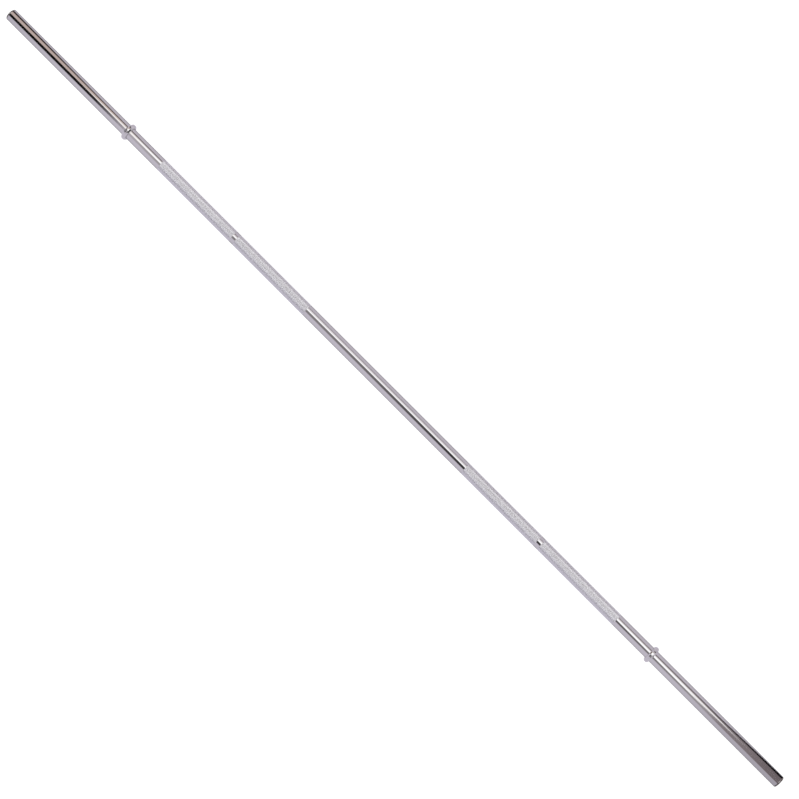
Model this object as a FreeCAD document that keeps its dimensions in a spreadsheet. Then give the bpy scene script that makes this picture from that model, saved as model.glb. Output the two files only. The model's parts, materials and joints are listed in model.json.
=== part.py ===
import FreeCAD
import Part
import Sketcher
import itertools
import os

# Straight one-inch barbell, lying along X with the middle of its axis at the origin, +Z up.
# One solid bar carries two pressed-on stop collars, and a spring pin locks each collar.

# Driving sizes in millimetres: name, value, meaning.
SIZES = (
    ("bar_length", 2133.6, "bar from tip to tip, 84 in"),
    ("bar_diameter", 25.4, "bar, 1 in, which one-inch plates slide on"),
    ("tip_radius", 3.0, "rounding at each tip"),
    ("loading_length", 336.55, "tip to the outer face of the collar, 13.25 in"),
    ("rack_length", 88.475, "smooth stretch between collar and grip, which lies on a rack's hook"),
    ("outer_grip_length", 205.0, "knurled band between the rack stretch and the ring mark"),
    ("ring_mark_width", 9.0, "smooth ring that splits each grip and shows the hands their place"),
    ("inner_grip_length", 198.7, "knurled band between the ring mark and the smooth middle"),
    ("knurl_rise", 0.2, "height that the knurling stands over the bar"),
    ("knurl_runout", 1.5, "length over which a knurled band rises"),
    ("collar_wall", 5.345, "stop collar from bore to crown, which makes it 36.5 across"),
    ("collar_width", 10.0, "stop collar along the bar"),
    ("collar_bevel", 2.5, "bevel of the collar's outer edges"),
    ("collar_lead", 0.5, "bevel at both mouths of the collar's bore"),
    ("seat_rise", 0.2, "height of the collar's press seat over the bar"),
    ("press_clearance", 0.005, "radial room at the pressed collar and the sprung pin"),
    ("pin_hole_diameter", 3.0, "hole for the spring pin"),
    ("pin_length", 14.0, "spring pin from end to end"),
    ("pin_wall", 0.6, "wall of the rolled spring pin"),
    ("pin_slot", 0.7, "gap along the spring pin"),
    ("pin_bevel", 0.4, "bevel at both ends of the spring pin"),
    ("pin_recess", 0.4, "depth of the pin below the collar's crown"),
    ("pin_hole_spare", 1.0, "room under the pin in the drilled hole"),
)

# Radii, all about the bar's axis but for the pin's own.
BAR_RADIUS = "Sizes.bar_diameter / 2"
KNURL_RADIUS = f"{BAR_RADIUS} + Sizes.knurl_rise"
SEAT_RADIUS = f"{BAR_RADIUS} + Sizes.seat_rise"
BORE_RADIUS = f"{SEAT_RADIUS} + Sizes.press_clearance"
COLLAR_RADIUS = f"{BORE_RADIUS} + Sizes.collar_wall"
PIN_RADIUS = "Sizes.pin_hole_diameter / 2 - Sizes.press_clearance"
PIN_BORE_RADIUS = f"{PIN_RADIUS} - Sizes.pin_wall"

# Places along the bar, from its middle, worked out from the tip inwards.
COLLAR_OUTER_FACE = "Sizes.bar_length / 2 - Sizes.loading_length"
COLLAR_INNER_FACE = f"{COLLAR_OUTER_FACE} - Sizes.collar_width"
COLLAR_MIDDLE = f"{COLLAR_OUTER_FACE} - Sizes.collar_width / 2"
OUTER_GRIP_END = f"{COLLAR_INNER_FACE} - Sizes.rack_length"
OUTER_GRIP_START = f"{OUTER_GRIP_END} - Sizes.outer_grip_length"
INNER_GRIP_END = f"{OUTER_GRIP_START} - Sizes.ring_mark_width"
INNER_GRIP_START = f"{INNER_GRIP_END} - Sizes.inner_grip_length"

# Heights of the pin and its hole, from the bar's axis towards the back of the bar.
PIN_TOP = f"{COLLAR_RADIUS} - Sizes.pin_recess"
PIN_BOTTOM = f"{PIN_TOP} - Sizes.pin_length"
PIN_HOLE_DEPTH = f"{SEAT_RADIUS} - ({PIN_BOTTOM}) + Sizes.pin_hole_spare"

DRILL_POINT_ANGLE = 118
FULL_TURN = 360
RADIUS_TOLERANCE = 0.001
OVERLAP_LIMIT = 0.001

doc = FreeCAD.newDocument("barbell")
sheet = doc.addObject("Spreadsheet::Sheet", "Sizes")


def fill_sheet():
    """Write each driving size into a cell that carries its name."""
    for row, (name, value, meaning) in enumerate(SIZES, start=1):
        sheet.set(f"A{row}", name)
        sheet.set(f"B{row}", str(value))
        sheet.set(f"C{row}", meaning)
        sheet.setAlias(f"B{row}", name)
    doc.recompute()


def value_of(formula):
    return float(sheet.evalExpression(formula))


def new_body(label):
    body = doc.addObject("PartDesign::Body", label)
    body.Label = label
    return body


def origin_plane(body, role):
    return next(plane for plane in body.Origin.OriginFeatures if plane.Role == role)


def new_sketch(body, name, role):
    """Empty sketch on one of the body's own planes."""
    sketch = body.newObject("Sketcher::SketchObject", name)
    sketch.AttachmentSupport = (origin_plane(body, role), [""])
    sketch.MapMode = "FlatFace"
    return sketch


def place_point(sketch, element, point, across, up):
    """Tie both places of a sketch's point, from the sketch's origin, to formulas."""
    for kind, formula in (("DistanceX", across), ("DistanceY", up)):
        index = sketch.addConstraint(Sketcher.Constraint(kind, element, point, value_of(formula)))
        sketch.setExpression(f"Constraints[{index}]", formula)


def draw_outline(sketch, *corners):
    """Closed outline of straight lines through corners, each a pair of formulas."""
    points = [FreeCAD.Vector(value_of(across), value_of(up), 0) for across, up in corners]
    first = sketch.GeometryCount
    for start, end in zip(points, points[1:] + points[:1]):
        sketch.addGeometry(Part.LineSegment(start, end), False)
    for number, (across, up) in enumerate(corners):
        before = first + (number - 1) % len(corners)
        sketch.addConstraint(Sketcher.Constraint("Coincident", before, 2, first + number, 1))
        place_point(sketch, first + number, 1, across, up)


def draw_circle(sketch, across, diameter):
    """Circle whose centre is on the sketch's across axis."""
    centre = FreeCAD.Vector(value_of(across), 0, 0)
    circle = sketch.addGeometry(Part.Circle(centre, FreeCAD.Vector(0, 0, 1), value_of(diameter) / 2), False)
    place_point(sketch, circle, 3, across, "0")
    index = sketch.addConstraint(Sketcher.Constraint("Diameter", circle, value_of(diameter)))
    sketch.setExpression(f"Constraints[{index}]", diameter)


def add_feature(body, kind, name, **formulas):
    """Feature on top of a body, with its sizes tied to formulas."""
    feature = body.newObject("PartDesign::" + kind, name)
    for size, formula in formulas.items():
        feature.setExpression(size, formula)
    return feature


def revolve(body, name, sketch, axis):
    turned = add_feature(body, "Revolution", name)
    turned.Profile = sketch
    turned.ReferenceAxis = (sketch, [axis])
    turned.Angle = FULL_TURN
    doc.recompute()
    return turned


def circles_of(feature, radius):
    """Names of a feature's full circular edges of one radius."""
    names = []
    for number, edge in enumerate(feature.Shape.Edges, start=1):
        is_circle = isinstance(edge.Curve, Part.Circle) and edge.isClosed()
        if is_circle and abs(edge.Curve.Radius - value_of(radius)) < RADIUS_TOLERANCE:
            names.append(f"Edge{number}")
    return names


def soften_edges(body, kind, name, base, radius, **formulas):
    """Fillet or chamfer along all full circles of one radius."""
    softened = add_feature(body, kind, name, **formulas)
    softened.Base = (base, circles_of(base, radius))
    doc.recompute()
    return softened


def draw_knurled_band(sketch, start, end):
    """Half section of a band that stands over the bar and slopes back to it at both ends."""
    draw_outline(
        sketch,
        (start, "0"),
        (start, BAR_RADIUS),
        (f"{start} + Sizes.knurl_runout", KNURL_RADIUS),
        (f"{end} - Sizes.knurl_runout", KNURL_RADIUS),
        (end, BAR_RADIUS),
        (end, "0"),
    )


def make_bar():
    """Solid bar with rounded tips, knurled bands, collar seats and pin holes."""
    body = new_body("bar")
    section = new_sketch(body, "bar_section", "YZ_Plane")
    draw_circle(section, "0", "Sizes.bar_diameter")
    stock = add_feature(body, "Pad", "bar_stock", Length="Sizes.bar_length")
    stock.Profile = section
    stock.SideType = "Symmetric"
    doc.recompute()
    soften_edges(body, "Fillet", "rounded_tips", stock, BAR_RADIUS, Radius="Sizes.tip_radius")

    raised = new_sketch(body, "raised_profile", "XZ_Plane")
    draw_knurled_band(raised, INNER_GRIP_START, INNER_GRIP_END)
    draw_knurled_band(raised, OUTER_GRIP_START, OUTER_GRIP_END)
    draw_outline(
        raised,
        (COLLAR_INNER_FACE, "0"),
        (COLLAR_INNER_FACE, SEAT_RADIUS),
        (COLLAR_OUTER_FACE, SEAT_RADIUS),
        (COLLAR_OUTER_FACE, "0"),
    )
    bands = revolve(body, "knurled_bands_and_seat", raised, "H_Axis")

    spot = new_sketch(body, "pin_hole_spot", "XZ_Plane")
    spot.setExpression("AttachmentOffset.Base.z", f"-({SEAT_RADIUS})")
    draw_circle(spot, COLLAR_MIDDLE, "Sizes.pin_hole_diameter")
    doc.recompute()
    hole = add_feature(body, "Hole", "pin_hole", Diameter="Sizes.pin_hole_diameter", Depth=PIN_HOLE_DEPTH)
    hole.Profile = spot
    hole.DepthType = "Dimension"
    hole.DrillPoint = "Angled"
    hole.DrillPointAngle = DRILL_POINT_ANGLE
    hole.Reversed = True
    doc.recompute()
    check_cut(hole)

    other_half = add_feature(body, "Mirrored", "other_half")
    other_half.Originals = [bands, hole]
    other_half.MirrorPlane = (origin_plane(body, "YZ_Plane"), [""])
    body.Tip = other_half
    doc.recompute()
    return body


def make_collar(label, inboard_place):
    """Stop collar: a ring with bevelled edges, bevelled bore and one hole for its pin."""
    body = new_body(label)
    section = new_sketch(body, label + "_section", "XZ_Plane")
    draw_outline(
        section,
        ("0", BORE_RADIUS),
        ("Sizes.collar_width", BORE_RADIUS),
        ("Sizes.collar_width", COLLAR_RADIUS),
        ("0", COLLAR_RADIUS),
    )
    ring = revolve(body, label + "_ring", section, "H_Axis")
    bevelled = soften_edges(body, "Chamfer", label + "_bevel", ring, COLLAR_RADIUS, Size="Sizes.collar_bevel")
    soften_edges(body, "Chamfer", label + "_lead", bevelled, BORE_RADIUS, Size="Sizes.collar_lead")

    spot = new_sketch(body, label + "_hole_spot", "XZ_Plane")
    draw_circle(spot, "Sizes.collar_width / 2", "Sizes.pin_hole_diameter")
    hole = add_feature(body, "Pocket", label + "_hole")
    hole.Profile = spot
    hole.Type = "ThroughAll"
    doc.recompute()
    check_cut(hole)
    body.setExpression("Placement.Base.x", inboard_place)
    doc.recompute()
    return body


def make_collar_pin(label, place):
    """Slotted spring pin, rolled from strip, driven through the collar into the bar."""
    body = new_body(label)
    section = new_sketch(body, label + "_section", "XZ_Plane")
    bevelled_radius = f"{PIN_RADIUS} - Sizes.pin_bevel"
    draw_outline(
        section,
        (PIN_BORE_RADIUS, "0"),
        (bevelled_radius, "0"),
        (PIN_RADIUS, "Sizes.pin_bevel"),
        (PIN_RADIUS, "Sizes.pin_length - Sizes.pin_bevel"),
        (bevelled_radius, "Sizes.pin_length"),
        (PIN_BORE_RADIUS, "Sizes.pin_length"),
    )
    revolve(body, label + "_tube", section, "V_Axis")

    gap = new_sketch(body, label + "_gap", "XZ_Plane")
    draw_outline(
        gap,
        ("0", "0"),
        ("Sizes.pin_hole_diameter", "0"),
        ("Sizes.pin_hole_diameter", "Sizes.pin_length"),
        ("0", "Sizes.pin_length"),
    )
    slot = add_feature(body, "Pocket", label + "_slot", Length="Sizes.pin_slot")
    slot.Profile = gap
    slot.SideType = "Symmetric"
    doc.recompute()
    check_cut(slot)
    towards_back = FreeCAD.Rotation(FreeCAD.Vector(0, 0, 1), FreeCAD.Vector(0, 1, 0))
    body.Placement = FreeCAD.Placement(FreeCAD.Vector(), towards_back)
    body.setExpression("Placement.Base.x", place)
    body.setExpression("Placement.Base.y", PIN_BOTTOM)
    doc.recompute()
    return body


def check_cut(feature):
    if feature.Shape.Volume >= feature.BaseFeature.Shape.Volume:
        raise RuntimeError(f"{feature.Label} cuts nothing")


def check_pieces(pieces):
    """Every object recomputed well, every piece one sound solid, and no two pieces overlap."""
    for item in doc.Objects:
        if "Invalid" in item.State or "Error" in item.State:
            raise RuntimeError(f"{item.Label} failed: {item.State}")
    for piece in pieces:
        if piece.Shape.isNull() or not piece.Shape.isValid() or len(piece.Shape.Solids) != 1:
            raise RuntimeError(f"{piece.Label} isn't one sound solid")
    for one, other in itertools.combinations(pieces, 2):
        shared = one.Shape.common(other.Shape).Volume
        if shared > OVERLAP_LIMIT:
            raise RuntimeError(f"{one.Label} and {other.Label} overlap by {shared:.4f} cubic mm")


def main():
    fill_sheet()
    pieces = [
        make_bar(),
        make_collar("left_collar", f"-({COLLAR_OUTER_FACE})"),
        make_collar("right_collar", COLLAR_INNER_FACE),
        make_collar_pin("left_collar_pin", f"-({COLLAR_MIDDLE})"),
        make_collar_pin("right_collar_pin", COLLAR_MIDDLE),
    ]
    check_pieces(pieces)
    os.makedirs("parts", exist_ok=True)
    for piece in pieces:
        piece.Shape.exportStep(f"parts/{piece.Label}.step")
        print(f"{piece.Label}: {piece.Shape.Volume:.1f} cubic mm")


main()
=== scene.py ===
import json
import math

import bmesh
import bpy
from mathutils import Matrix, Vector


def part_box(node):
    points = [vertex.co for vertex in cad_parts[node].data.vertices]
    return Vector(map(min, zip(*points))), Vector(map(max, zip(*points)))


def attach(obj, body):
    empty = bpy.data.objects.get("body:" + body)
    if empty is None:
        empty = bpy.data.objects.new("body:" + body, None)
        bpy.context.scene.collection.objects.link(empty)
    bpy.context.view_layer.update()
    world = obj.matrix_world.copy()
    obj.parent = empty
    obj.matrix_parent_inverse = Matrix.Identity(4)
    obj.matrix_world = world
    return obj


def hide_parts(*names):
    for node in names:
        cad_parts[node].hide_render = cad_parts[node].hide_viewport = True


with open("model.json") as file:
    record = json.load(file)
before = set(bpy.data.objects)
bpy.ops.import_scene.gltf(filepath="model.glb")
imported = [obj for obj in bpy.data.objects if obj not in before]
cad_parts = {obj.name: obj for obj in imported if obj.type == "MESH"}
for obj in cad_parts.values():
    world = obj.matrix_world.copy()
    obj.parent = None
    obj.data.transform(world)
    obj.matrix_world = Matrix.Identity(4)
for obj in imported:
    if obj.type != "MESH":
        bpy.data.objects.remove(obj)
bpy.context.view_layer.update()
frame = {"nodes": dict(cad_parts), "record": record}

bl_info = {
    "name": "Straight barbell",
    "version": (1, 0, 0),
    "blender": (4, 5, 0),
    "location": "View3D > Sidebar > Barbell",
    "description": "Dresses the solids of a one-inch barbell: chromed bar, knurled grips, "
                   "stop collars, pins",
    "category": "Object",
}

MM = 0.001
BODY = "root"
SIDES = {"left": -1, "right": 1}
WHITE = "#FFFFFF"
mounts = {mount["name"]: mount for mount in frame["record"]["mounts"]}
loading_end = mounts["right_loading_end"]["dims"]
rack_rest = mounts["right_rack_rest"]
bar_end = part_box("bar")[1].x
bar_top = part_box("bar")[1].z
collar_low, collar_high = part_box("right_collar")
collar_middle = (collar_low.x + collar_high.x) / 2
collar_half_width = (collar_high.x - collar_low.x) / 2
collar_crown = (collar_high.z - collar_low.z) / 2
pin_low, pin_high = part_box("right_collar_pin")


def linear(hex_colour):
    """Linear red, green, blue and alpha of an sRGB hex colour."""
    channels = [int(hex_colour[place:place + 2], 16) / 255 for place in (1, 3, 5)]
    return [c / 12.92 if c <= 0.04045 else ((c + 0.055) / 1.055) ** 2.4 for c in channels] + [1.0]


def length(name, description, default):
    """A length that a user may change, in metres."""
    return bpy.props.FloatProperty(name=name, description=description, default=default, min=0,
                                   unit="LENGTH", precision=5)


def share(name, description, default):
    """A share of a whole that a user may change."""
    return bpy.props.FloatProperty(name=name, description=description, default=default, min=0,
                                   max=1, subtype="FACTOR")


def strength(name, description, default):
    """A light's strength that a user may change."""
    return bpy.props.FloatProperty(name=name, description=description, default=default, min=0)


def count(name, description, default, least):
    """A count that a user may change."""
    return bpy.props.IntProperty(name=name, description=description, default=default, min=least)


def colour(name, description, hex_colour):
    """A colour that a user may change."""
    return bpy.props.FloatVectorProperty(name=name, description=description, size=4, min=0, max=1,
                                         default=linear(hex_colour), subtype="COLOR")


class BarSizes(bpy.types.PropertyGroup):
    """Sizes of the turned bar."""

    radius: length("Radius", "Half the bar's thickness", loading_end["r_mm"] * MM)
    tip_radius: length("Tip rounding", "Rounding at both tips",
                       bar_end - collar_high.x - loading_end["length_mm"] * MM)
    seat_rise: length("Seat rise", "Height of the press seat inside a collar", 0.2 * MM)
    grip_end: length("Grip end", "Outer end of the outer grip, from the bar's middle",
                     rack_rest["pos_m"][0] - rack_rest["dims"]["length_mm"] * MM / 2)
    outer_grip: length("Outer grip", "Length of the outer knurled band", 205.0 * MM)
    ring_mark: length("Ring mark", "Width of the smooth ring between two bands", 9.0 * MM)
    inner_grip: length("Inner grip", "Length of the inner knurled band", 198.7 * MM)
    bed_room: length("Bed room", "Depth of the turned bed under the knurling's grooves", 0.03 * MM)
    bed_slope: length("Bed slope", "Length of the slope at each end of a bed", 0.6 * MM)
    turns: count("Sides", "Flats round the turned bar", 128, 16)


class KnurlSizes(bpy.types.PropertyGroup):
    """Sizes of the diamond knurling."""

    diamonds: count("Diamonds", "Diamonds round the bar", 46, 8)
    helix: bpy.props.FloatProperty(name="Helix", default=math.radians(30), subtype="ANGLE",
                                   description="Angle of the grooves to the bar's axis")
    rise: length("Rise", "Height of the diamonds over the plain bar",
                 bar_top - loading_end["r_mm"] * MM)
    depth: length("Depth", "Depth of the grooves under the plain bar", 0.01 * MM)
    flat: share("Flat", "Width of a diamond's worn top to that of its foot", 0.14)
    wear: share("Wear", "Share of its height that a diamond may have lost", 0.08)
    seed: bpy.props.IntProperty(name="Seed", description="Seed of the wear", default=7)


class CollarSizes(bpy.types.PropertyGroup):
    """Sizes of the stop collars."""

    bevel: length("Bevel", "Bevel of the collar's outer edges", 2.5 * MM)
    crown_radius: length("Crown rounding", "Rounding between bevel and crown", 0.6 * MM)
    face_radius: length("Face rounding", "Rounding between bevel and side face", 0.5 * MM)
    lead: length("Lead", "Bevel at the mouths of the bore, narrowed by the plate", 0.2 * MM)
    lead_radius: length("Lead rounding", "Rounding between bore's mouth and side face", 0.1 * MM)
    clearance: length("Clearance", "Room round the press seat and the pin", 0.005 * MM)
    mouth: length("Pin hole's mouth", "Bevel at the mouth of the pin's hole", 0.25 * MM)
    turns: count("Sides", "Flats round a collar", 192, 16)


class Finishes(bpy.types.PropertyGroup):
    """Colours of the finishes and the floor."""

    chrome: colour("Chrome", "Bright chrome plate", "#D0CFD0")
    edge_tint: colour("Edge tint",
                      "Share of light that the bar still mirrors at a glancing angle", "#AAAAAA")
    ring_edge_tint: colour("Ring's edge tint", "Share that the collars still mirror there", WHITE)
    # Tip colour: partly wear, partly painted shade for a dark reflection at the tips.
    scuffed_and_shaded: colour("Scuffed tip", "Chrome knocked dull at the tips", "#5C534E")
    knurl: colour("Knurl", "Frosted chrome on the knurling", "#D8D9DD")
    groove: colour("Groove", "Chrome in the grooves, dulled by sweat and dust", "#CCCBCC")
    spring_steel: colour("Spring steel", "Hardened spring strip", "#8C8C8F")
    oil: colour("Oil", "Brown oil dried on the spring strip", "#5A4E45")
    floor: colour("Floor", "White floor, lit from below", "#F7F1FF")


class Stage(bpy.types.PropertyGroup):
    """Light and floor."""

    floor_side: length("Floor", "Half the floor's side", 40.0)
    floor_light: strength("Floor light", "Strength of the floor as the chrome mirrors it", 0.847)
    studio_light: strength("Studio light", "Strength of the studio's light", 1.588)


def add_node(tree, kind, inputs=None, **settings):
    """Add a node, set its settings, then set its inputs or link them to other nodes' outputs."""
    node = tree.nodes.new(kind)
    for name, value in settings.items():
        setattr(node, name, value)
    for key, value in (inputs or {}).items():
        if isinstance(value, bpy.types.NodeSocket):
            tree.links.new(value, node.inputs[key])
        else:
            node.inputs[key].default_value = value
    return node


def new_material(name):
    """Empty node material and its tree."""
    material = bpy.data.materials.new(name)
    material.use_nodes = True
    material.node_tree.nodes.clear()
    return material, material.node_tree


def ground_bar_chrome(bar, finishes):
    """Bright chrome plate on a centreless-ground bar."""
    # The plate gives a clear mirror, a little clouded in patches. Grinding leaves lines round the
    # bar, plates that slide on draw streaks along the loading ends, and knocks on the floor leave
    # the tips dull and dark. That dark colour at the tips is partly wear and partly painted shade,
    # standing in for a dark reflection there.
    material, tree = new_material("bright_chrome_on_ground_bar")
    place = add_node(tree, "ShaderNodeTexCoord").outputs["Object"]
    along = add_node(tree, "ShaderNodeSeparateXYZ", {"Vector": place}).outputs["X"]
    from_middle = add_node(tree, "ShaderNodeMath", {0: along}, operation="ABSOLUTE").outputs[0]
    cloud_size, clear, clouded = 18 * MM, 0.02, 0.07
    cloud = add_node(tree, "ShaderNodeTexNoise",
                     {"Vector": place, "Scale": 1 / cloud_size, "Detail": 3.0})
    haze = add_node(tree, "ShaderNodeMapRange",
                    {"Value": cloud.outputs["Fac"], "To Min": clear, "To Max": clouded})

    # Streaks are about 0.1 mm wide, too fine to show, so they are drawn 0.8 mm wide.
    streak_length, streak_width, streak_roughness = 90 * MM, 0.8 * MM, 0.05
    streaks_set_in = 20 * MM
    drawn_out = add_node(tree, "ShaderNodeMapping",
                         {"Vector": place,
                          "Scale": (1 / streak_length, 1 / streak_width, 1 / streak_width)})
    streak = add_node(tree, "ShaderNodeTexNoise",
                      {"Vector": drawn_out.outputs["Vector"], "Scale": 1.0, "Detail": 2.0})
    streaked = add_node(tree, "ShaderNodeMapRange",
                        {"Value": streak.outputs["Fac"], "From Min": 0.55, "From Max": 0.75,
                         "To Max": streak_roughness})
    on_loading_end = add_node(tree, "ShaderNodeMapRange",
                              {"Value": from_middle, "From Min": collar_high.x,
                               "From Max": collar_high.x + streaks_set_in})
    dulled = add_node(tree, "ShaderNodeMath",
                      {0: streaked.outputs[0], 1: on_loading_end.outputs[0], 2: haze.outputs[0]},
                      operation="MULTIPLY_ADD")

    # Dents and scrapes on the tips are 1 to 2 mm across. Most are on the rounded rim, few on the
    # flat end. The dark colour laid on them is partly wear and partly painted shade.
    knock_size, knock_roughness, end_share, least_knocked = 1.5 * MM, 0.3, 0.25, 0.7
    rim_inside = bar.radius - 1.6 * bar.tip_radius
    rim_outside = bar.radius - 0.9 * bar.tip_radius
    tip_start = bar_end - 1.35 * bar.tip_radius
    tip_full = bar_end - 0.75 * bar.tip_radius
    across = add_node(tree, "ShaderNodeVectorMath", {0: place, 1: (0.0, 1.0, 1.0)},
                      operation="MULTIPLY")
    radius = add_node(tree, "ShaderNodeVectorMath", {0: across.outputs["Vector"]},
                      operation="LENGTH")
    on_rim = add_node(tree, "ShaderNodeMapRange",
                      {"Value": radius.outputs["Value"], "From Min": rim_inside,
                       "From Max": rim_outside, "To Min": end_share},
                      interpolation_type="SMOOTHSTEP")
    knock = add_node(tree, "ShaderNodeTexNoise",
                     {"Vector": place, "Scale": 1 / knock_size, "Detail": 2.0})
    knocked = add_node(tree, "ShaderNodeMapRange",
                       {"Value": knock.outputs["Fac"], "From Min": 0.3, "From Max": 0.6,
                        "To Min": least_knocked})
    at_tip = add_node(tree, "ShaderNodeMapRange",
                      {"Value": from_middle, "From Min": tip_start, "From Max": tip_full},
                      interpolation_type="SMOOTHSTEP")
    worn = add_node(tree, "ShaderNodeMath", {0: at_tip.outputs[0], 1: on_rim.outputs[0]},
                    operation="MULTIPLY")
    scuffed_and_shaded = add_node(tree, "ShaderNodeMath", {0: knocked.outputs[0], 1: worn.outputs[0]},
                       operation="MULTIPLY")
    # Mix in the dark tip colour: partly wear, partly painted shade.
    base = add_node(tree, "ShaderNodeMix",
                    {"Factor": scuffed_and_shaded.outputs[0], "A": finishes.chrome, "B": finishes.scuffed_and_shaded},
                    data_type="RGBA")
    roughness = add_node(tree, "ShaderNodeMath",
                         {0: scuffed_and_shaded.outputs[0], 1: knock_roughness, 2: dulled.outputs[0]},
                         operation="MULTIPLY_ADD")

    # Grinding lines are about 0.05 mm apart, too fine to show, so they are drawn 0.6 mm apart.
    line_step, line_length, line_depth = 0.6 * MM, 40 * MM, 0.002 * MM
    squeezed = add_node(tree, "ShaderNodeMapping",
                        {"Vector": place,
                         "Scale": (1 / line_step, 1 / line_length, 1 / line_length)})
    line = add_node(tree, "ShaderNodeTexNoise",
                    {"Vector": squeezed.outputs["Vector"], "Scale": 1.0, "Detail": 1.0})
    bump = add_node(tree, "ShaderNodeBump",
                    {"Height": line.outputs["Fac"], "Distance": line_depth})
    shader = add_node(tree, "ShaderNodeBsdfPrincipled",
                      {"Base Color": base.outputs["Result"], "Metallic": 1.0,
                       "Roughness": roughness.outputs[0], "Specular Tint": finishes.edge_tint,
                       "Normal": bump.outputs["Normal"]})
    add_node(tree, "ShaderNodeOutputMaterial", {"Surface": shader.outputs["BSDF"]})
    return material


def rolled_knurl_chrome(bar, knurl, finishes):
    """Chrome plate on cold-rolled knurling."""
    # The rolled flanks are satin under the plate, hands polish the tops, and the grooves stay dull.
    material, tree = new_material("satin_chrome_on_rolled_knurling")
    place = add_node(tree, "ShaderNodeTexCoord").outputs["Object"]
    across = add_node(tree, "ShaderNodeVectorMath", {0: place, 1: (0.0, 1.0, 1.0)},
                      operation="MULTIPLY")
    radius = add_node(tree, "ShaderNodeVectorMath", {0: across.outputs["Vector"]},
                      operation="LENGTH")
    dull_radius = bar.radius - knurl.depth
    polished_radius = bar.radius + knurl.rise * 0.6
    height = add_node(tree, "ShaderNodeMapRange",
                      {"Value": radius.outputs["Value"], "From Min": dull_radius,
                       "From Max": polished_radius})
    base = add_node(tree, "ShaderNodeMix",
                    {"Factor": height.outputs[0], "A": finishes.groove, "B": finishes.knurl},
                    data_type="RGBA")
    groove_roughness, top_roughness = 0.38, 0.26
    satin = add_node(tree, "ShaderNodeMapRange",
                     {"Value": height.outputs[0], "To Min": groove_roughness,
                      "To Max": top_roughness})
    # Hands polish the grips in patches about a finger wide.
    finger, unpolished = 25 * MM, 0.08
    grip = add_node(tree, "ShaderNodeTexNoise",
                    {"Vector": place, "Scale": 1 / finger, "Detail": 2.0})
    roughness = add_node(tree, "ShaderNodeMath",
                         {0: grip.outputs["Fac"], 1: unpolished, 2: satin.outputs[0]},
                         operation="MULTIPLY_ADD")
    shader = add_node(tree, "ShaderNodeBsdfPrincipled",
                      {"Base Color": base.outputs["Result"], "Metallic": 1.0,
                       "Roughness": roughness.outputs[0]})
    add_node(tree, "ShaderNodeOutputMaterial", {"Surface": shader.outputs["BSDF"]})
    return material


def turned_ring_chrome(finishes):
    """Bright chrome plate on a ring turned on a lathe."""
    # Crown and bevels are polished before plating. The side faces are left as turned, so the plate
    # is satin there, with fine rings from the lathe.
    material, tree = new_material("bright_chrome_on_turned_ring")
    place = add_node(tree, "ShaderNodeTexCoord").outputs["Object"]
    along = add_node(tree, "ShaderNodeSeparateXYZ", {"Vector": place}).outputs["X"]
    from_middle = add_node(tree, "ShaderNodeMath", {0: along}, operation="ABSOLUTE").outputs[0]
    across = add_node(tree, "ShaderNodeVectorMath", {0: place, 1: (0.0, 1.0, 1.0)},
                      operation="MULTIPLY")
    radius = add_node(tree, "ShaderNodeVectorMath", {0: across.outputs["Vector"]},
                      operation="LENGTH")
    # Turned rings are about 0.1 mm apart, too fine to show, so they are drawn 0.4 mm apart.
    ring_step, ring_depth = 0.4 * MM, 0.002 * MM
    rings = add_node(tree, "ShaderNodeCombineXYZ",
                     {"X": from_middle, "Y": radius.outputs["Value"]})
    ring = add_node(tree, "ShaderNodeTexNoise",
                    {"Vector": rings.outputs["Vector"], "Scale": 1 / ring_step, "Detail": 1.0},
                    noise_dimensions="2D")
    bump = add_node(tree, "ShaderNodeBump",
                    {"Height": ring.outputs["Fac"], "Distance": ring_depth})
    cloud_size, clear, clouded = 6 * MM, 0.03, 0.1
    cloud = add_node(tree, "ShaderNodeTexNoise",
                     {"Vector": place, "Scale": 1 / cloud_size, "Detail": 3.0})
    haze = add_node(tree, "ShaderNodeMapRange",
                    {"Value": cloud.outputs["Fac"], "To Min": clear, "To Max": clouded})
    polish_ends, turned_starts, turned_roughness = 0.2 * MM, 0.05 * MM, 0.7
    off_centre = add_node(tree, "ShaderNodeMath", {0: from_middle, 1: collar_middle},
                          operation="SUBTRACT")
    beside = add_node(tree, "ShaderNodeMath", {0: off_centre.outputs[0]}, operation="ABSOLUTE")
    on_face = add_node(tree, "ShaderNodeMapRange",
                       {"Value": beside.outputs[0], "From Min": collar_half_width - polish_ends,
                        "From Max": collar_half_width - turned_starts,
                        "To Max": turned_roughness})
    roughness = add_node(tree, "ShaderNodeMath",
                         {0: ring.outputs["Fac"], 1: on_face.outputs[0], 2: haze.outputs[0]},
                         operation="MULTIPLY_ADD")
    shader = add_node(tree, "ShaderNodeBsdfPrincipled",
                      {"Base Color": finishes.chrome, "Metallic": 1.0,
                       "Roughness": roughness.outputs[0],
                       "Specular Tint": finishes.ring_edge_tint, "Normal": bump.outputs["Normal"]})
    add_node(tree, "ShaderNodeOutputMaterial", {"Surface": shader.outputs["BSDF"]})
    return material


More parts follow.
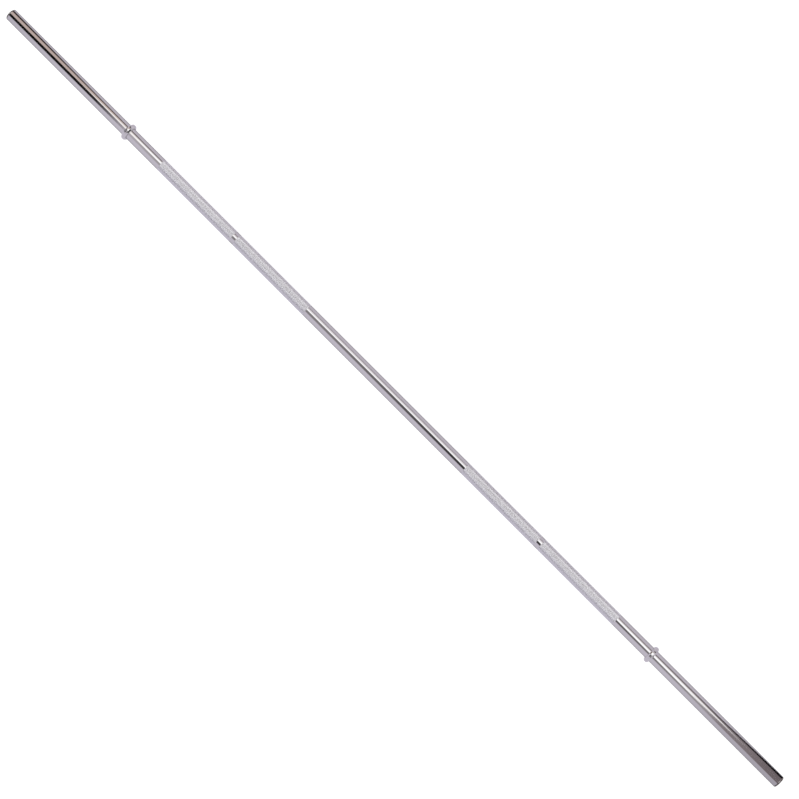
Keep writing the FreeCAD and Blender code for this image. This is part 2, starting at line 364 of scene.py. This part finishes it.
def oiled_spring_strip(finishes):
    """Hardened spring-steel strip, rolled to a pin and oiled."""
    # Rolling leaves lines along the pin, and dried oil lies on it in brown patches.
    material, tree = new_material("oiled_spring_steel_strip")
    place = add_node(tree, "ShaderNodeTexCoord").outputs["Object"]
    line_step, line_length, line_depth = 0.25 * MM, 6 * MM, 0.01 * MM
    drawn_out = add_node(tree, "ShaderNodeMapping",
                         {"Vector": place,
                          "Scale": (1 / line_step, 1 / line_length, 1 / line_step)})
    line = add_node(tree, "ShaderNodeTexNoise",
                    {"Vector": drawn_out.outputs["Vector"], "Scale": 1.0, "Detail": 2.0})
    patch_size = 0.9 * MM
    patch = add_node(tree, "ShaderNodeTexNoise",
                     {"Vector": place, "Scale": 1 / patch_size, "Detail": 3.0})
    oiled = add_node(tree, "ShaderNodeMapRange",
                     {"Value": patch.outputs["Fac"], "From Min": 0.42, "From Max": 0.64})
    base = add_node(tree, "ShaderNodeMix",
                    {"Factor": oiled.outputs[0], "A": finishes.spring_steel, "B": finishes.oil},
                    data_type="RGBA")
    smoothest, roughest = 0.22, 0.5
    roughness = add_node(tree, "ShaderNodeMapRange",
                         {"Value": line.outputs["Fac"], "To Min": smoothest, "To Max": roughest})
    bump = add_node(tree, "ShaderNodeBump",
                    {"Height": line.outputs["Fac"], "Distance": line_depth})
    shader = add_node(tree, "ShaderNodeBsdfPrincipled",
                      {"Base Color": base.outputs["Result"], "Metallic": 1.0,
                       "Roughness": roughness.outputs[0], "Normal": bump.outputs["Normal"]})
    add_node(tree, "ShaderNodeOutputMaterial", {"Surface": shader.outputs["BSDF"]})
    return material


# Floor and background are burnt out in the picture, a little past white so that no noise shows.
BURNT_OUT = 1.12
# Places along the bar where the floor's light starts and stops fading, and the share left there.
FLOOR_FADES = ((0.76, 1.07, 0.70), (-0.88, -1.07, 0.90))


def lit_floor_acrylic(finishes, stage):
    """Opal acrylic sheet lit from below."""
    # An even white with no shadow. Its faint lavender, and how its light fades under the bar's
    # ends, show only where the chrome mirrors it.
    material, tree = new_material("opal_acrylic_lit_from_below")
    place = add_node(tree, "ShaderNodeTexCoord").outputs["Object"]
    along = add_node(tree, "ShaderNodeSeparateXYZ", {"Vector": place}).outputs["X"]
    light = stage.floor_light
    for start, end, left in FLOOR_FADES:
        fade = add_node(tree, "ShaderNodeMapRange",
                        {"Value": along, "From Min": start, "From Max": end,
                         "To Min": 1.0, "To Max": left})
        light = add_node(tree, "ShaderNodeMath", {0: light, 1: fade.outputs[0]},
                         operation="MULTIPLY").outputs[0]
    mirrored = add_node(tree, "ShaderNodeEmission", {"Color": finishes.floor, "Strength": light})
    white = add_node(tree, "ShaderNodeEmission", {"Color": linear(WHITE), "Strength": BURNT_OUT})
    path = add_node(tree, "ShaderNodeLightPath")
    both = add_node(tree, "ShaderNodeMixShader",
                    {0: path.outputs["Is Camera Ray"], 1: mirrored.outputs["Emission"],
                     2: white.outputs["Emission"]})
    add_node(tree, "ShaderNodeOutputMaterial", {"Surface": both.outputs["Shader"]})
    return material


def hold_corners(profile, room):
    """Add a point close to both ends of each long run, so that shading bends only at corners."""
    held = [profile[0]]
    long_run = 4 * room
    for start, end in zip(profile, profile[1:]):
        start, end = Vector(start), Vector(end)
        run = end - start
        if run.length > long_run:
            step = run.normalized() * room
            held += [tuple(start + step), tuple(end - step)]
        held.append(tuple(end))
    return held


def turned_mesh(name, profile, turns):
    """Mesh turned about the X axis from points of place along the axis and radius."""
    vertices = []
    rings = []
    for place, radius in profile:
        sides = turns if radius > 0 else 1
        rings.append([len(vertices) + step for step in range(sides)])
        for step in range(sides):
            angle = math.tau * step / turns
            vertices.append((place, radius * math.sin(angle), radius * math.cos(angle)))
    if profile[0] == profile[-1]:
        del vertices[-turns:]
        rings[-1] = rings[0]
    faces = []
    for one, other in zip(rings, rings[1:]):
        for step in range(turns):
            after = (step + 1) % turns
            corners = [one[step % len(one)], other[step % len(other)],
                       other[after % len(other)], one[after % len(one)]]
            faces.append(list(dict.fromkeys(corners)))
    mesh = bpy.data.meshes.new(name)
    mesh.from_pydata(vertices, [], faces)
    if mesh.validate():
        raise RuntimeError(f"{name} has faces that don't fit together")
    mesh.shade_smooth()
    return mesh


def new_piece(name, mesh, material, slot, *nodes):
    """Object that rides on the part's body and stands for CAD nodes."""
    piece = bpy.data.objects.new(name, mesh)
    bpy.context.scene.collection.objects.link(piece)
    if material:
        mesh.materials.clear()
        mesh.materials.append(material)
    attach(piece, BODY)
    if nodes:
        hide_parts(*nodes)


def grip_bands(bar):
    """Start and end of the two knurled bands on the right half."""
    ring_outer = bar.grip_end - bar.outer_grip
    ring_inner = ring_outer - bar.ring_mark
    return ((ring_inner - bar.inner_grip, ring_inner), (ring_outer, bar.grip_end))


class BARBELL_OT_bar(bpy.types.Operator):
    """Turn the solid bar with its smooth lengths, the beds of its knurling and its rounded tips"""

    bl_idname = "barbell.bar"
    bl_label = "Bar"

    def execute(self, context):
        bar, knurl = context.scene.barbell_bar, context.scene.barbell_knurl
        bed = bar.radius - knurl.depth - bar.bed_room
        half = [(0.0, bar.radius)]
        for start, end in grip_bands(bar):
            half += [(start, bar.radius), (start + bar.bed_slope, bed),
                     (end - bar.bed_slope, bed), (end, bar.radius)]
        seat = bar.radius + bar.seat_rise
        half += [(collar_low.x, bar.radius), (collar_low.x, seat),
                 (collar_high.x, seat), (collar_high.x, bar.radius)]
        tip_steps = 12
        for step in range(tip_steps + 1):
            angle = math.radians(90) * step / tip_steps
            half.append((bar_end - bar.tip_radius * (1 - math.sin(angle)),
                         bar.radius - bar.tip_radius * (1 - math.cos(angle))))
        half.append((bar_end, 0.0))
        corner_room = 0.25 * MM
        half = hold_corners(half, corner_room)
        profile = [(-place, radius) for place, radius in reversed(half[1:])] + half
        mesh = turned_mesh("bar_smooth", profile, bar.turns)
        sharp = math.radians(40)
        mesh.set_sharp_from_angle(angle=sharp)
        material = ground_bar_chrome(bar, context.scene.barbell_finishes)
        new_piece("bar_smooth", mesh, material, "chromed_bar", "bar")
        return {"FINISHED"}


def knurl_tree():
    """Geometry Nodes tree that sets flat-topped diamonds in staggered rows round the bar."""
    tree = bpy.data.node_groups.new("knurled_band", "GeometryNodeTree")
    kinds = {
        "Start": "NodeSocketFloat", "Row Step": "NodeSocketFloat", "Rows": "NodeSocketInt",
        "Diamonds": "NodeSocketInt", "Half Width": "NodeSocketFloat",
        "Root Radius": "NodeSocketFloat", "Height": "NodeSocketFloat", "Flat": "NodeSocketFloat",
        "Wear": "NodeSocketFloat", "Seed": "NodeSocketInt", "Material": "NodeSocketMaterial",
    }
    for name, kind in kinds.items():
        tree.interface.new_socket(name, in_out="INPUT", socket_type=kind)
    tree.interface.new_socket("Band", in_out="OUTPUT", socket_type="NodeSocketGeometry")
    given = add_node(tree, "NodeGroupInput").outputs

    # Each diamond's number gives its row along the band and its angle round the bar. Odd rows are
    # half a step on. The nudge keeps rounding from putting a row's first diamond in the row before.
    nudge = 1e-4
    number = add_node(tree, "GeometryNodeInputIndex").outputs["Index"]
    rows_done = add_node(tree, "ShaderNodeMath", {0: number, 1: given["Diamonds"]},
                         operation="DIVIDE").outputs[0]
    nudged = add_node(tree, "ShaderNodeMath", {0: rows_done, 1: nudge},
                      operation="ADD").outputs[0]
    row = add_node(tree, "ShaderNodeMath", {0: nudged}, operation="FLOOR").outputs[0]
    parity = add_node(tree, "ShaderNodeMath", {0: row, 1: 2.0}, operation="MODULO").outputs[0]
    pitch = add_node(tree, "ShaderNodeMath", {0: math.tau, 1: given["Diamonds"]},
                     operation="DIVIDE").outputs[0]
    stagger = add_node(tree, "ShaderNodeMath", {0: parity, 1: 0.5, 2: number},
                       operation="MULTIPLY_ADD").outputs[0]
    angle = add_node(tree, "ShaderNodeMath", {0: stagger, 1: pitch},
                     operation="MULTIPLY").outputs[0]
    row_after = add_node(tree, "ShaderNodeMath", {0: row, 1: 1.0}, operation="ADD").outputs[0]
    along = add_node(tree, "ShaderNodeMath",
                     {0: row_after, 1: given["Row Step"], 2: given["Start"]},
                     operation="MULTIPLY_ADD").outputs[0]
    sine = add_node(tree, "ShaderNodeMath", {0: angle}, operation="SINE").outputs[0]
    cosine = add_node(tree, "ShaderNodeMath", {0: angle}, operation="COSINE").outputs[0]
    outward = add_node(tree, "ShaderNodeCombineXYZ", {"Y": sine, "Z": cosine})
    root = add_node(tree, "ShaderNodeCombineXYZ", {"X": along})
    place = add_node(tree, "ShaderNodeVectorMath",
                     {0: outward.outputs[0], 1: given["Root Radius"], 2: root.outputs[0]},
                     operation="MULTIPLY_ADD")
    total = add_node(tree, "ShaderNodeMath", {0: given["Rows"], 1: given["Diamonds"]},
                     operation="MULTIPLY")
    points = add_node(tree, "GeometryNodePoints",
                      {"Count": total.outputs[0], "Position": place.outputs[0]})

    foot = add_node(tree, "GeometryNodeMeshCircle", {"Vertices": 4, "Radius": 1.0},
                    fill_type="NGON")
    foot_size = add_node(tree, "ShaderNodeCombineXYZ",
                         {"X": given["Row Step"], "Y": given["Half Width"], "Z": 1.0})
    sized_foot = add_node(tree, "GeometryNodeTransform",
                          {"Geometry": foot.outputs["Mesh"], "Scale": foot_size.outputs["Vector"]})
    diamond = add_node(tree, "GeometryNodeExtrudeMesh",
                       {"Mesh": sized_foot.outputs["Geometry"], "Offset Scale": given["Height"]},
                       mode="FACES")
    topped = add_node(tree, "GeometryNodeScaleElements",
                      {"Geometry": diamond.outputs["Mesh"], "Selection": diamond.outputs["Top"],
                       "Scale": given["Flat"]})

    turn = add_node(tree, "ShaderNodeMath", {0: angle, 1: -1.0}, operation="MULTIPLY")
    rotation = add_node(tree, "ShaderNodeCombineXYZ", {"X": turn.outputs[0]})
    worn_most = add_node(tree, "ShaderNodeMath", {0: 1.0, 1: given["Wear"]}, operation="SUBTRACT")
    worn = add_node(tree, "FunctionNodeRandomValue",
                    {"Min": worn_most.outputs[0], "Max": 1.0, "ID": number,
                     "Seed": given["Seed"]}, data_type="FLOAT")
    size = add_node(tree, "ShaderNodeCombineXYZ",
                    {"X": 1.0, "Y": 1.0, "Z": worn.outputs["Value"]})
    spread = add_node(tree, "GeometryNodeInstanceOnPoints",
                      {"Points": points.outputs["Geometry"],
                       "Instance": topped.outputs["Geometry"],
                       "Rotation": rotation.outputs["Vector"], "Scale": size.outputs["Vector"]})
    whole = add_node(tree, "GeometryNodeRealizeInstances",
                     {"Geometry": spread.outputs["Instances"]})
    touching = 0.03 * MM
    joined = add_node(tree, "GeometryNodeMergeByDistance",
                      {"Geometry": whole.outputs["Geometry"], "Distance": touching})
    finished = add_node(tree, "GeometryNodeSetMaterial",
                        {"Geometry": joined.outputs["Geometry"], "Material": given["Material"]})
    add_node(tree, "NodeGroupOutput", {"Band": finished.outputs["Geometry"]})
    return tree


def finished_mesh(name, holder):
    """Plain mesh of an object with its modifiers applied. The object is removed."""
    graph = bpy.context.evaluated_depsgraph_get()
    mesh = bpy.data.meshes.new_from_object(holder.evaluated_get(graph), depsgraph=graph)
    bpy.data.objects.remove(holder)
    if not mesh.polygons:
        raise RuntimeError(f"{name} came out empty")
    return mesh


def grown_mesh(name, tree, values):
    """Plain mesh that a Geometry Nodes tree makes from its named inputs."""
    holder = bpy.data.objects.new(name, bpy.data.meshes.new(name))
    bpy.context.scene.collection.objects.link(holder)
    modifier = holder.modifiers.new(name, "NODES")
    modifier.node_group = tree
    for socket in tree.interface.items_tree:
        if socket.in_out == "INPUT":
            modifier[socket.identifier] = values[socket.name]
    return finished_mesh(name, holder)


def close_band(mesh, radius):
    """Close a knurled band with a sleeve that lies hidden under the bar's bed."""
    shell = bmesh.new()
    shell.from_mesh(mesh)
    rims = [edge for edge in shell.edges if edge.is_boundary]
    drawn_in = bmesh.ops.extrude_edge_only(shell, edges=rims)["geom"]
    for vertex in (item for item in drawn_in if isinstance(item, bmesh.types.BMVert)):
        vertex.co.yz = vertex.co.yz.normalized() * radius
    ends = [item for item in drawn_in if isinstance(item, bmesh.types.BMEdge) and item.is_boundary]
    bmesh.ops.bridge_loops(shell, edges=ends)
    bmesh.ops.recalc_face_normals(shell, faces=shell.faces)
    if any(not edge.is_manifold for edge in shell.edges):
        raise RuntimeError(f"{mesh.name} has open edges")
    shell.to_mesh(mesh)
    shell.free()


class BARBELL_OT_knurl(bpy.types.Operator):
    """Roll diamond knurling on the four grip bands"""

    bl_idname = "barbell.knurl"
    bl_label = "Knurled grips"

    def execute(self, context):
        bar, knurl = context.scene.barbell_bar, context.scene.barbell_knurl
        material = rolled_knurl_chrome(bar, knurl, context.scene.barbell_finishes)
        tree = knurl_tree()
        root_radius = bar.radius - knurl.depth
        sleeve_radius = root_radius - 3 * bar.bed_room
        half_width = root_radius * math.tan(math.pi / knurl.diamonds)
        for side, sign in SIDES.items():
            for part, band in zip(("inner", "outer"), grip_bands(bar)):
                start, end = sorted(sign * place for place in band)
                steps = round((end - start) * math.tan(knurl.helix) / half_width)
                name = f"knurl_{side}_{part}"
                mesh = grown_mesh(name, tree, {
                    "Start": start, "Row Step": (end - start) / steps, "Rows": steps - 1,
                    "Diamonds": knurl.diamonds, "Half Width": half_width,
                    "Root Radius": root_radius, "Height": knurl.rise + knurl.depth,
                    "Flat": knurl.flat, "Wear": knurl.wear, "Seed": knurl.seed,
                    "Material": material,
                })
                close_band(mesh, sleeve_radius)
                new_piece(name, mesh, None, "chromed_bar")
        return {"FINISHED"}


def soften(profile, radii, steps=8):
    """Round the corners between the ends of an open profile."""
    points = [Vector(point) for point in profile]
    rounded = [tuple(points[0])]
    for before, corner, after, radius in zip(points, points[1:], points[2:], radii):
        back, on = (before - corner).normalized(), (after - corner).normalized()
        reach = radius * math.tan((math.pi - back.angle(on)) / 2)
        start, end = corner + back * reach, corner + on * reach
        for step in range(steps + 1):
            done = step / steps
            rounded.append(tuple(start.lerp(corner, done).lerp(corner.lerp(end, done), done)))
    rounded.append(tuple(points[-1]))
    return rounded


class BARBELL_OT_collars(bpy.types.Operator):
    """Turn the two stop collars and drill them for their pins"""

    bl_idname = "barbell.collars"
    bl_label = "Stop collars"

    def execute(self, context):
        bar, collar = context.scene.barbell_bar, context.scene.barbell_collar
        material = turned_ring_chrome(context.scene.barbell_finishes)
        bore = bar.radius + bar.seat_rise + collar.clearance
        outline = [
            (-collar_half_width + collar.lead, bore),
            (-collar_half_width, bore + collar.lead),
            (-collar_half_width, collar_crown - collar.bevel),
            (-collar_half_width + collar.bevel, collar_crown),
        ]
        outline += [(-place, radius) for place, radius in reversed(outline)]
        radii = [collar.lead_radius, collar.face_radius, collar.crown_radius]
        outline = soften(outline, radii + radii[::-1])
        outline.append(outline[0])

        # The drill is turned about X and then stood along Y, where the pins are driven in. It is
        # first turned by half a side, so that none of its corners falls on an edge of the ring.
        drill_turns = 48
        hole = (pin_high.x - pin_low.x) / 2 + collar.clearance
        spare = 1.0 * MM
        drill_start, drill_end = bore - spare, collar_crown + spare
        drill_outline = [(drill_start, 0.0), (drill_start, hole),
                         (collar_crown - collar.mouth, hole),
                         (drill_end, hole + collar.mouth + spare), (drill_end, 0.0)]
        stand = (Matrix.Rotation(math.radians(90), 4, "Z")
                 @ Matrix.Rotation(math.pi / drill_turns, 4, "X"))
        sharp = math.radians(30)
        for side, sign in SIDES.items():
            name, drill_name = f"{side}_collar_ring", f"{side}_drill"
            middle = Matrix.Translation((sign * collar_middle, 0, 0))
            blank = bpy.data.objects.new(name, turned_mesh(name, outline, collar.turns))
            blank.data.transform(middle)
            drill = bpy.data.objects.new(drill_name,
                                         turned_mesh(drill_name, drill_outline, drill_turns))
            drill.data.transform(middle @ stand)
            for piece in (blank, drill):
                context.scene.collection.objects.link(piece)
            drilled = blank.modifiers.new("pin_hole", "BOOLEAN")
            drilled.operation, drilled.solver, drilled.object = "DIFFERENCE", "EXACT", drill
            mesh = finished_mesh(name, blank)
            bpy.data.objects.remove(drill)
            mesh.set_sharp_from_angle(angle=sharp)
            new_piece(name, mesh, material, "chromed_collar", f"{side}_collar")
        return {"FINISHED"}


class BARBELL_OT_pins(bpy.types.Operator):
    """Finish the spring pins that lock the collars"""

    bl_idname = "barbell.pins"
    bl_label = "Collar pins"

    def execute(self, context):
        material = oiled_spring_strip(context.scene.barbell_finishes)
        for side in SIDES:
            pin = frame["nodes"][f"{side}_collar_pin"]
            pin.data.materials.clear()
            pin.data.materials.append(material)
        return {"FINISHED"}


# Camera as found from the photograph: focal length and places are in pixels of the 799-pixel image.
IMAGE_SIDE = 799
FOCAL_PIXELS = 2100.0
SENSOR = 36.0
MIDDLE_PIXEL = (385.33, 388.61)
MIDDLE_DISTANCE = 4.1035
AXIS_TURN = math.radians(44.986)
AXIS_TILT = math.radians(5.262)
ELEVATION = math.radians(43)


def set_camera():
    """Camera over the bar's right front, rolled so that the bar runs down the diagonal."""
    data = bpy.data.cameras.new("camera")
    data.sensor_width = SENSOR
    data.lens = FOCAL_PIXELS * SENSOR / IMAGE_SIDE
    camera = bpy.data.objects.new("camera", data)
    bpy.context.scene.collection.objects.link(camera)
    along = Vector((math.cos(AXIS_TURN) * math.cos(AXIS_TILT),
                    -math.sin(AXIS_TURN) * math.cos(AXIS_TILT), math.sin(AXIS_TILT)))
    towards = (Vector((0, 0, 1)) - along * along.z).normalized()
    across = towards.cross(along)
    up = math.sin(ELEVATION) * towards + math.cos(ELEVATION) * across
    back = up.cross(along)
    turn = Matrix((along, back, up))
    centre = (IMAGE_SIDE - 1) / 2
    middle = Vector(((MIDDLE_PIXEL[0] - centre) / FOCAL_PIXELS,
                     (centre - MIDDLE_PIXEL[1]) / FOCAL_PIXELS, -1))
    camera.matrix_world = Matrix.Translation(turn @ (-middle * MIDDLE_DISTANCE)) @ turn.to_4x4()
    bpy.context.scene.camera = camera


# What the bar mirrors, panel over panel, as a share of the light's strength. A panel's ends are
# given by the way's X, which follows the bar's length, and its edges by degrees over the bar, from
# the front horizon up and back.
SWEEP = "#B6B0B9"
PANELS = (
    # ends, edges at the left end, edges at the right end, softness of ends and edges, colour
    ((-0.40, 0.20), (40, 102), (40, 102), (0.03, 3), "#A79EA0"),      # ceiling
    ((-0.20, 0.045), (60, 101), (60, 101), (0.03, 3), "#CCC6CA"),     # ceiling lit by the softbox
    ((-0.37, -0.270), (50, 118), (50, 100), (0.010, 8), "#B6A49D"),   # tan wall on the left
    ((0.114, 0.19), (3, 105), (3, 160), (0.010, 4), "#7C7376"),       # hall on the right
    ((0.145, 0.19), (6, 120), (6, 160), (0.012, 4), "#665D60"),       # far end of the hall
    ((-0.262, 0.114), (9, 60), (9, 60), (0.010, 3), "#9C989A"),       # front of the room
    ((-0.232, 0.03), (9, 60), (9, 60), (0.020, 3), "#807C7E"),        # shade in it
    ((-0.10, 0.08), (9, 60), (9, 60), (0.060, 3), "#363436"),         # dark doorway in it
    ((-0.37, -0.276), (5.5, 52), (5.5, 52), (0.012, 4), "#0A0908"),   # dark corner on the left
    ((-0.26, -0.07), (95, 102), (99, 106), (0.010, 1), "#262022"),    # gap over the sweep, left
    ((-0.11, 0.08), (99, 106), (95, 101), (0.010, 1), "#262022"),     # gap over the sweep, right
    ((-0.37, -0.25), (106, 156), (91, 97), (0.010, 4), "#322B29"),    # gap climbing on the left
    ((0.075, 0.128), (94, 102), (97, 116), (0.005, 2), "#1E1B1C"),    # gap climbing on the right
    ((0.122, 0.19), (101, 118), (136, 240), (0.005, 3), "#080808"),   # and opening out there
    ((-0.272, -0.05), (43, 75), (57, 69), (0.012, 5), WHITE),         # softbox, left half
    ((-0.12, 0.108), (57, 69), (37, 74), (0.010, 5), WHITE),          # softbox, right half
    ((-0.292, -0.26), (54, 69), (42, 69), (0.006, 4), "#F4F0EC"),     # its far corner
    ((0.104, 0.128), (46, 76), (66, 76), (0.006, 4), "#F4F2F0"),      # its near corner
    ((-0.90, -0.36), (20, 92), (20, 92), (0.010, 6), WHITE),          # side softbox on the left
    ((0.19, 0.84), (20, 92), (20, 92), (0.010, 6), WHITE),            # side softbox on the right
    ((-0.90, -0.36), (94, 114), (94, 114), (0.010, 6), "#8E888B"),    # ceiling past the left one
    ((0.19, 0.84), (94, 114), (94, 114), (0.010, 6), "#8E888B"),      # ceiling past the right one
    ((-0.90, -0.36), (-5, 16), (-5, 16), (0.010, 4), "#2E2C2D"),      # room under the left one
    ((0.19, 0.84), (-5, 16), (-5, 16), (0.010, 4), "#2E2C2D"),        # room under the right one
    ((-0.66, -0.36), (120, 152), (120, 152), (0.010, 6), "#E6E2E6"),  # sweep lit by the left one
    ((0.19, 0.58), (120, 152), (120, 152), (0.010, 6), "#E6E2E6"),    # sweep lit by the right one
    ((-1.02, -0.945), (0, 135), (95, 135), (0.004, 6), "#6E5A52"),    # brown wall at the left end
    ((0.86, 0.975), (-5, 118), (-5, 118), (0.010, 8), "#050404"),     # dark door at the right end
)


def hang_studio(stage):
    """World: a dark room in front, a long softbox overhead, a ceiling and a white sweep behind."""
    world = bpy.data.worlds.new("studio")
    world.use_nodes = True
    bpy.context.scene.world = world
    tree = world.node_tree
    tree.nodes.clear()
    way = add_node(tree, "ShaderNodeTexCoord").outputs["Generated"]
    parts = add_node(tree, "ShaderNodeSeparateXYZ", {"Vector": way}).outputs
    along = parts["X"]
    front = add_node(tree, "ShaderNodeMath", {0: parts["Y"], 1: -1.0},
                     operation="MULTIPLY").outputs[0]
    angle = add_node(tree, "ShaderNodeMath", {0: parts["Z"], 1: front},
                     operation="ARCTAN2").outputs[0]
    height = add_node(tree, "ShaderNodeMath", {0: angle}, operation="DEGREES").outputs[0]
    seen = linear(SWEEP)
    for (left, right), at_left, at_right, (soft_end, soft_edge), hex_colour in PANELS:
        limits = [(along, left - soft_end, left + soft_end),
                  (along, right + soft_end, right - soft_end)]
        for start, end, soft in zip(at_left, at_right, (soft_edge, -soft_edge)):
            if start == end:
                limits.append((height, start - soft, start + soft))
                continue
            edge = add_node(tree, "ShaderNodeMapRange",
                            {"Value": along, "From Min": left, "From Max": right,
                             "To Min": start, "To Max": end}, clamp=False).outputs[0]
            over = add_node(tree, "ShaderNodeMath", {0: height, 1: edge},
                            operation="SUBTRACT").outputs[0]
            limits.append((over, -soft, soft))
        covered = 1.0
        for value, low, high in limits:
            inside = add_node(tree, "ShaderNodeMapRange",
                              {"Value": value, "From Min": low, "From Max": high},
                              interpolation_type="SMOOTHSTEP").outputs[0]
            covered = add_node(tree, "ShaderNodeMath", {0: covered, 1: inside},
                               operation="MULTIPLY").outputs[0]
        seen = add_node(tree, "ShaderNodeMix",
                        {"Factor": covered, "A": seen, "B": linear(hex_colour)},
                        data_type="RGBA").outputs["Result"]
    light = add_node(tree, "ShaderNodeBackground",
                     {"Color": seen, "Strength": stage.studio_light})
    white = add_node(tree, "ShaderNodeBackground",
                     {"Color": linear(WHITE), "Strength": BURNT_OUT})
    path = add_node(tree, "ShaderNodeLightPath")
    both = add_node(tree, "ShaderNodeMixShader",
                    {0: path.outputs["Is Camera Ray"], 1: light.outputs["Background"],
                     2: white.outputs["Background"]})
    add_node(tree, "ShaderNodeOutputWorld", {"Surface": both.outputs["Shader"]})


class BARBELL_OT_stage(bpy.types.Operator):
    """Lay the white floor, hang the studio light and set the camera"""

    bl_idname = "barbell.stage"
    bl_label = "Stage"

    def execute(self, context):
        stage = context.scene.barbell_stage
        side, low = stage.floor_side, -collar_crown
        mesh = bpy.data.meshes.new("floor")
        mesh.from_pydata([(-side, -side, low), (side, -side, low), (side, side, low),
                          (-side, side, low)], [], [(0, 1, 2, 3)])
        mesh.materials.append(lit_floor_acrylic(context.scene.barbell_finishes, stage))
        floor = bpy.data.objects.new("floor", mesh)
        context.scene.collection.objects.link(floor)
        hang_studio(stage)
        set_camera()
        context.scene.view_settings.view_transform = "Standard"
        return {"FINISHED"}


class BARBELL_PT_panel(bpy.types.Panel):
    """Sizes, finishes and pieces of the barbell"""

    bl_label = "Barbell"
    bl_idname = "BARBELL_PT_panel"
    bl_space_type = "VIEW_3D"
    bl_region_type = "UI"
    bl_category = "Barbell"

    def draw(self, context):
        for operator in OPERATORS:
            self.layout.operator(operator.bl_idname)
        for name, group in GROUPS.items():
            box = self.layout.box()
            box.label(text=group.__doc__)
            for prop in group.__annotations__:
                box.prop(getattr(context.scene, name), prop)


GROUPS = {"barbell_bar": BarSizes, "barbell_knurl": KnurlSizes, "barbell_collar": CollarSizes,
          "barbell_finishes": Finishes, "barbell_stage": Stage}
OPERATORS = (BARBELL_OT_bar, BARBELL_OT_knurl, BARBELL_OT_collars, BARBELL_OT_pins,
             BARBELL_OT_stage)
CLASSES = (*GROUPS.values(), *OPERATORS, BARBELL_PT_panel)


def register():
    for cls in CLASSES:
        bpy.utils.register_class(cls)
    for name, group in GROUPS.items():
        setattr(bpy.types.Scene, name, bpy.props.PointerProperty(type=group))


def unregister():
    for name in GROUPS:
        delattr(bpy.types.Scene, name)
    for cls in reversed(CLASSES):
        bpy.utils.unregister_class(cls)


def main():
    register()
    bpy.ops.barbell.bar()
    bpy.ops.barbell.knurl()
    bpy.ops.barbell.collars()
    bpy.ops.barbell.pins()
    bpy.ops.barbell.stage()


if __name__ == "__main__":
    main()
